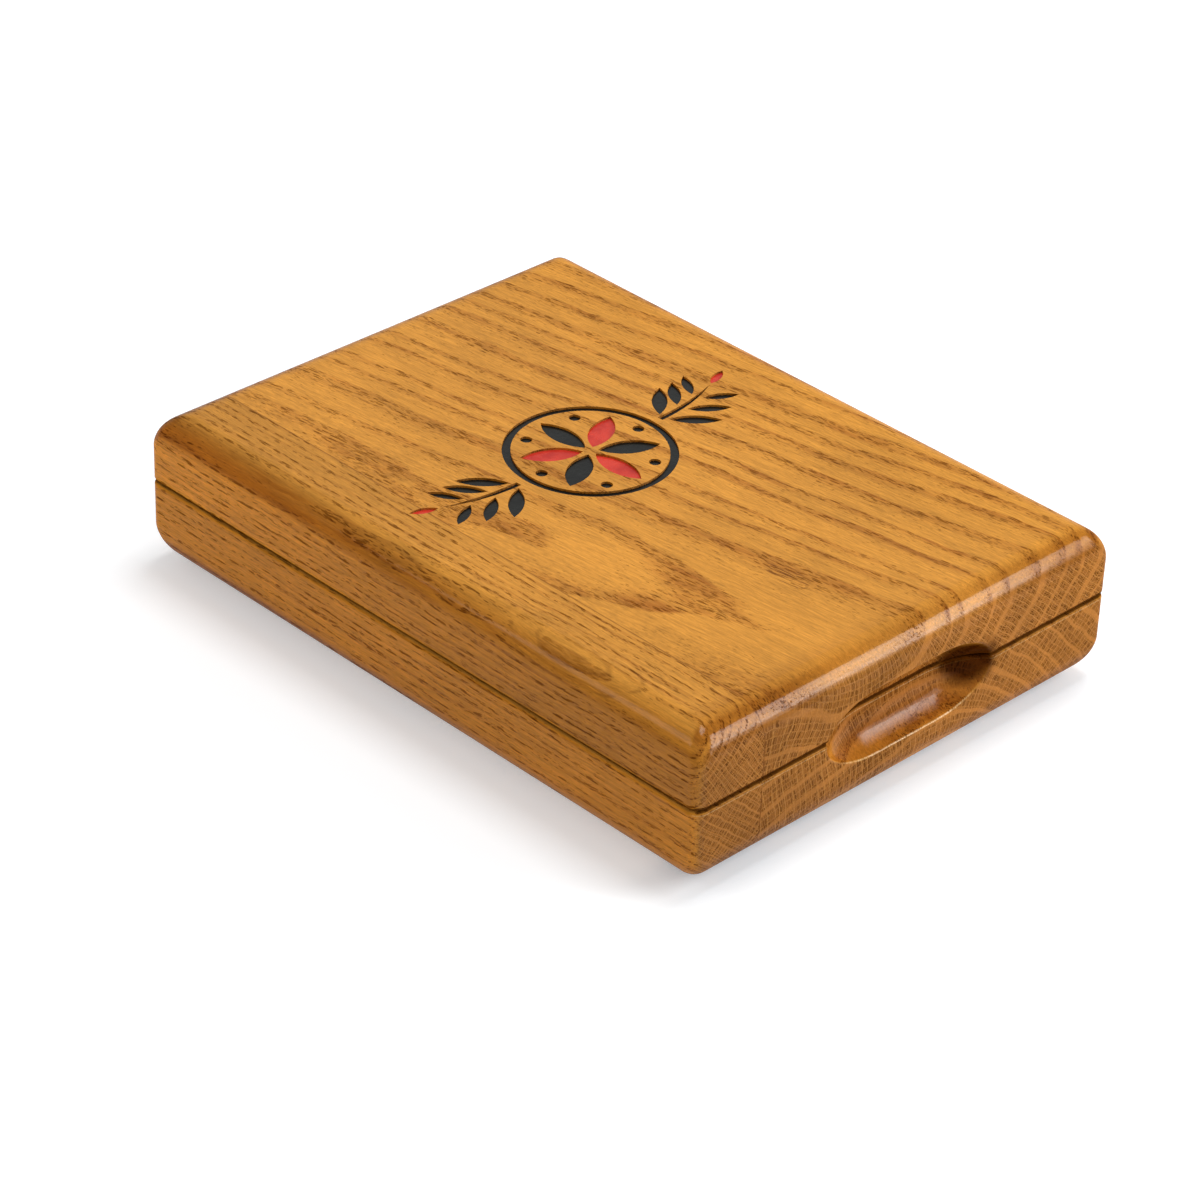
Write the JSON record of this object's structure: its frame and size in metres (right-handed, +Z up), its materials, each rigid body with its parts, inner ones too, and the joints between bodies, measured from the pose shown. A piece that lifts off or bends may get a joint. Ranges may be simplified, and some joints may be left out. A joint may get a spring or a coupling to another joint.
{
  "type": "playing card box",
  "caption": "Solid oak playing card box in two halves, closed by hidden magnets, with a finger scoop at one end and an engraved, enamelled lid.",
  "frame": {"origin": "centre of the base's flat bottom face", "axes": "+Z up, +Y along the length away from the finger scoop, +X across the width to the right as seen from the scoop's end"},
  "size_m": [0.084, 0.115, 0.025],
  "materials": {
    "lacquered_oak": "satin-gloss clear lacquer over honey-stained oak",
    "black_enamel": "semi-gloss enamel paint laid in the engraving",
    "red_enamel": "semi-gloss enamel paint laid in the engraving",
    "green_felt": "pressed wool felt",
    "brass": "turned, satin",
    "nickel_plating": "satin nickel plating on disc magnets"
  },
  "bodies": {
    "base": {"base_shell": "lacquered_oak", "base_felt_liner": "green_felt", "locating_pin_left": "brass", "locating_pin_right": "brass", "base_magnet_front_left": "nickel_plating", "base_magnet_front_right": "nickel_plating", "base_magnet_rear_left": "nickel_plating", "base_magnet_rear_right": "nickel_plating"},
    "lid": {"lid_shell": "lacquered_oak", "lid_felt_liner": "green_felt", "black_enamel_inlay": "black_enamel", "red_enamel_inlay": "red_enamel", "lid_magnet_front_left": "nickel_plating", "lid_magnet_front_right": "nickel_plating", "lid_magnet_rear_left": "nickel_plating", "lid_magnet_rear_right": "nickel_plating"}
  },
  "joints": [
    {"name": "lid_lift", "type": "slide", "parent": "base", "child": "lid", "axis": [0, 0, 1], "range_m": [0, 0.06]}
  ]
}
